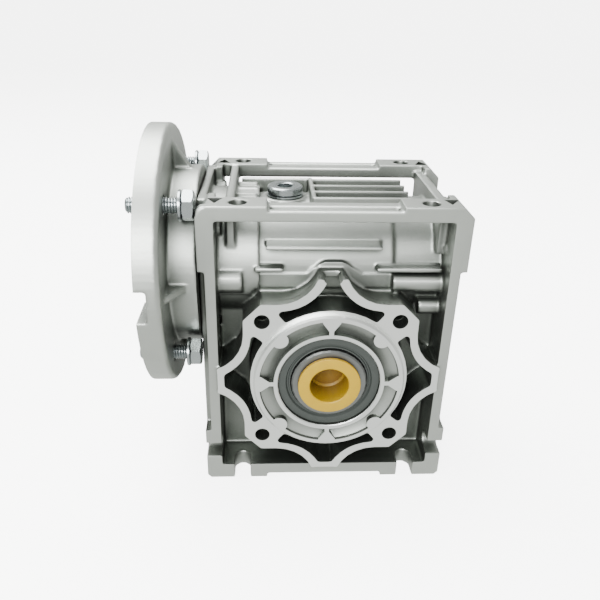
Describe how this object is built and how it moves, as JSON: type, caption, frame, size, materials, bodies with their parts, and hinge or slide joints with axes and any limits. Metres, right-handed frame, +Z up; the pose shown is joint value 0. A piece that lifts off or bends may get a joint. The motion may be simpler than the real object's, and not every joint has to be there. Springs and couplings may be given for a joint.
{
  "type": "industrial gearbox",
  "caption": "Worm gearbox with a hollow output shaft, a bored motor flange and a slotted frame casing; its worm turns a bronze wheel at right angles.",
  "frame": {"origin": "on the foot plane, straight below the middle of the output axis", "axes": "+Z up from the feet to the worm; +Y along the output axis from the front hub to the rear cover; -X along the worm axis to the motor flange"},
  "size_m": [0.125, 0.105, 0.1425],
  "materials": {
    "die_cast_aluminium": "shot-blasted die casting with machined faces",
    "ground_steel": "ground",
    "zinc_plated_steel": "bright zinc plating",
    "cast_iron": "turned",
    "tin_bronze": "hobbed",
    "nitrile_rubber": "moulded",
    "yellow_polyethylene": "moulded, slightly translucent"
  },
  "bodies": {
    "casing": {"housing": "die_cast_aluminium", "rear_cover": "die_cast_aluminium", "input_flange": "die_cast_aluminium", "rear_cover_oring": "nitrile_rubber", "input_oil_seal": "nitrile_rubber", "front_output_seal": "nitrile_rubber", "rear_output_seal": "nitrile_rubber", "worm_end_cap": "nitrile_rubber", "input_circlip": "ground_steel", "filler_plug": "zinc_plated_steel", "filler_plug_washer": "zinc_plated_steel", "rear_cover_screw_1": "zinc_plated_steel", "input_flange_screw_1": "zinc_plated_steel", "rear_cover_screw_2": "zinc_plated_steel", "input_flange_screw_2": "zinc_plated_steel", "rear_cover_screw_3": "zinc_plated_steel", "input_flange_screw_3": "zinc_plated_steel", "rear_cover_screw_4": "zinc_plated_steel", "input_flange_screw_4": "zinc_plated_steel", "front_output_bearing_outer_race": "ground_steel", "rear_output_bearing_outer_race": "ground_steel", "input_bearing_outer_race": "ground_steel", "rear_bearing_outer_race": "ground_steel"},
    "output_shaft": {"wheel_hub": "cast_iron", "wheel_rim": "tin_bronze", "front_output_bearing_inner_race": "ground_steel", "rear_output_bearing_inner_race": "ground_steel"},
    "worm": {"worm_shaft": "ground_steel", "worm_circlip": "ground_steel", "input_bearing_inner_race": "ground_steel", "rear_bearing_inner_race": "ground_steel"},
    "front_output_bearing_cage": {"front_output_bearing_balls": "ground_steel"},
    "rear_output_bearing_cage": {"rear_output_bearing_balls": "ground_steel"},
    "input_bearing_cage": {"input_bearing_balls": "ground_steel"},
    "rear_bearing_cage": {"rear_bearing_balls": "ground_steel"},
    "front_cap": {"front_bore_cap": "yellow_polyethylene"},
    "rear_cap": {"rear_bore_cap": "yellow_polyethylene"},
    "loose_bolt_1": {"motor_bolt_1": "zinc_plated_steel", "motor_bolt_1_washer": "zinc_plated_steel"},
    "loose_bolt_2": {"motor_bolt_2": "zinc_plated_steel", "motor_bolt_2_washer": "zinc_plated_steel"},
    "loose_bolt_3": {"motor_bolt_3": "zinc_plated_steel", "motor_bolt_3_washer": "zinc_plated_steel"},
    "loose_bolt_4": {"motor_bolt_4": "zinc_plated_steel", "motor_bolt_4_washer": "zinc_plated_steel"}
  },
  "joints": [
    {"name": "worm_spin", "type": "hinge", "parent": "casing", "child": "worm", "pos_m": [0, 0, 0.09], "axis": [1, 0, 0], "continuous": true},
    {"name": "output_spin", "type": "hinge", "parent": "casing", "child": "output_shaft", "pos_m": [0, 0, 0.05], "axis": [0, 1, 0], "continuous": true},
    {"name": "front_output_bearing_cage_spin", "type": "hinge", "parent": "casing", "child": "front_output_bearing_cage", "pos_m": [0, 0, 0.05], "axis": [0, 1, 0], "continuous": true},
    {"name": "rear_output_bearing_cage_spin", "type": "hinge", "parent": "casing", "child": "rear_output_bearing_cage", "pos_m": [0, 0, 0.05], "axis": [0, 1, 0], "continuous": true},
    {"name": "input_bearing_cage_spin", "type": "hinge", "parent": "casing", "child": "input_bearing_cage", "pos_m": [0, 0, 0.09], "axis": [1, 0, 0], "continuous": true},
    {"name": "rear_bearing_cage_spin", "type": "hinge", "parent": "casing", "child": "rear_bearing_cage", "pos_m": [0, 0, 0.09], "axis": [1, 0, 0], "continuous": true},
    {"name": "front_cap_pull", "type": "slide", "parent": "output_shaft", "child": "front_cap", "axis": [0, -1, 0], "range_m": [0, 0.03]},
    {"name": "rear_cap_pull", "type": "slide", "parent": "output_shaft", "child": "rear_cap", "axis": [0, 1, 0], "range_m": [0, 0.03]},
    {"name": "loose_bolt_1_slide", "type": "slide", "parent": "casing", "child": "loose_bolt_1", "axis": [-1, 0, 0], "range_m": [0, 0.0047]},
    {"name": "loose_bolt_2_slide", "type": "slide", "parent": "casing", "child": "loose_bolt_2", "axis": [-1, 0, 0], "range_m": [0, 0.0047]},
    {"name": "loose_bolt_3_slide", "type": "slide", "parent": "casing", "child": "loose_bolt_3", "axis": [-1, 0, 0], "range_m": [0, 0.0047]},
    {"name": "loose_bolt_4_slide", "type": "slide", "parent": "casing", "child": "loose_bolt_4", "axis": [-1, 0, 0], "range_m": [0, 0.0047]}
  ],
  "couplings": [
    {"joint": "output_spin", "follows": "worm_spin", "ratio": -0.033333},
    {"joint": "front_output_bearing_cage_spin", "follows": "worm_spin", "ratio": -0.013608},
    {"joint": "rear_output_bearing_cage_spin", "follows": "worm_spin", "ratio": -0.013608},
    {"joint": "input_bearing_cage_spin", "follows": "worm_spin", "ratio": 0.40278},
    {"joint": "rear_bearing_cage_spin", "follows": "worm_spin", "ratio": 0.37719}
  ]
}
